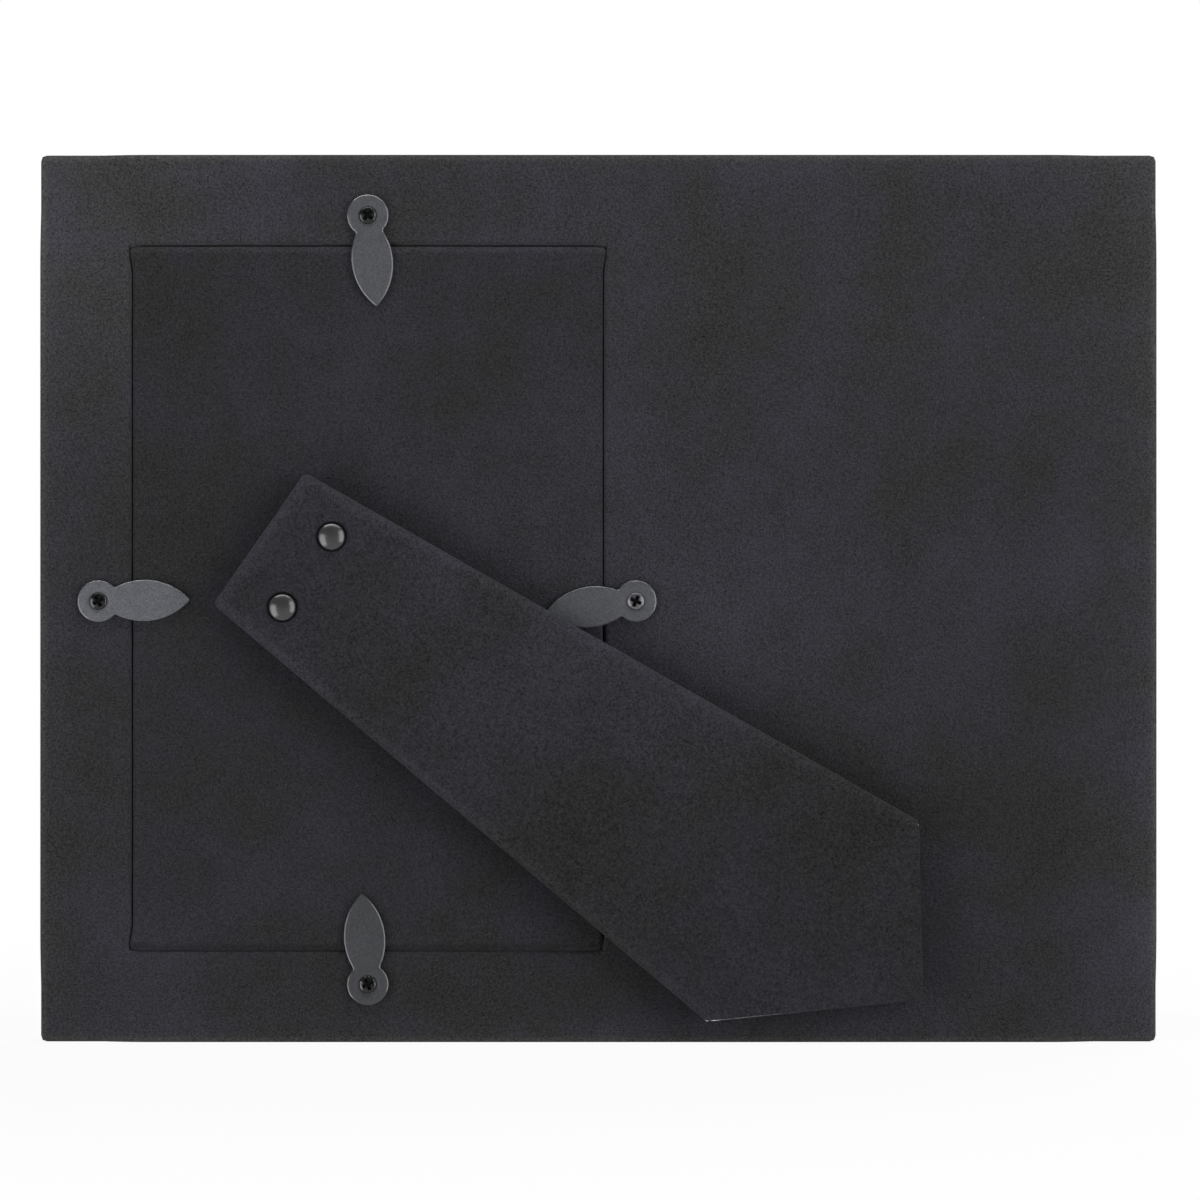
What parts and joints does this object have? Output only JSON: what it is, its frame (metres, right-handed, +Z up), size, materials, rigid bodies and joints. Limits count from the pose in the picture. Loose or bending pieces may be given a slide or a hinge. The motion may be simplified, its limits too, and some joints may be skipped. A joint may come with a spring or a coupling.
{
  "type": "easel back photo frame",
  "caption": "Landscape photo frame with an upright photo window, seen from its velour back: lift-out door under leaf-shaped turn buttons and a hinged easel leg.",
  "frame": {"origin": "middle of the bottom edge, on the face that the frame stands on", "axes": "+Z up, +X to the right seen from behind, back facing -Y and photo window facing +Y"},
  "size_m": [0.2476, 0.0209, 0.1968],
  "materials": {
    "velvet": "black short-pile velour",
    "smooth_cover": "black fine-grained leatherette",
    "board": "fibreboard",
    "lining": "black lining paper",
    "glass": "clear picture glass",
    "photo_paper": "plain pale insert",
    "card": "grey-brown card",
    "button_paint": "matte grey powder coat",
    "rivet_metal": "gloss black",
    "screw_steel": "black oxide",
    "hinge_steel": "plain steel sheet"
  },
  "bodies": {
    "frame": {"front_board": "board", "front_cover": "smooth_cover", "glass_pane": "glass", "photo_insert": "photo_paper", "backing_card": "card", "back_board": "board", "back_velvet": "velvet", "door_board": "board", "door_velvet": "velvet", "hinge_door_leaf": "hinge_steel", "hinge_pin": "hinge_steel", "hinge_rivets": "hinge_steel", "turn_button_screws": "screw_steel"},
    "easel_leg": {"hinge_leg_leaf": "hinge_steel", "leg_board": "board", "leg_lining": "lining", "leg_velvet": "velvet", "leg_rivets": "rivet_metal"},
    "turn_button_top": {"turn_button_top": "button_paint"},
    "turn_button_right": {"turn_button_right": "button_paint"},
    "turn_button_bottom": {"turn_button_bottom": "button_paint"},
    "turn_button_left": {"turn_button_left": "button_paint"}
  },
  "joints": [
    {"name": "easel_leg_hinge", "type": "hinge", "parent": "frame", "child": "easel_leg", "pos_m": [-0.0717, -0.0079, 0.1094], "axis": [-0.5721, 0, -0.8202], "range_deg": [0, 35]},
    {"name": "turn_button_top_pivot", "type": "hinge", "parent": "frame", "child": "turn_button_top", "pos_m": [-0.0511, -0.0066, 0.1833], "axis": [0, -1, 0], "continuous": true},
    {"name": "turn_button_right_pivot", "type": "hinge", "parent": "frame", "child": "turn_button_right", "pos_m": [0.0083, -0.0066, 0.0978], "axis": [0, -1, 0], "continuous": true},
    {"name": "turn_button_bottom_pivot", "type": "hinge", "parent": "frame", "child": "turn_button_bottom", "pos_m": [-0.0511, -0.0066, 0.0129], "axis": [0, -1, 0], "continuous": true},
    {"name": "turn_button_left_pivot", "type": "hinge", "parent": "frame", "child": "turn_button_left", "pos_m": [-0.1108, -0.0066, 0.0978], "axis": [0, -1, 0], "continuous": true}
  ]
}
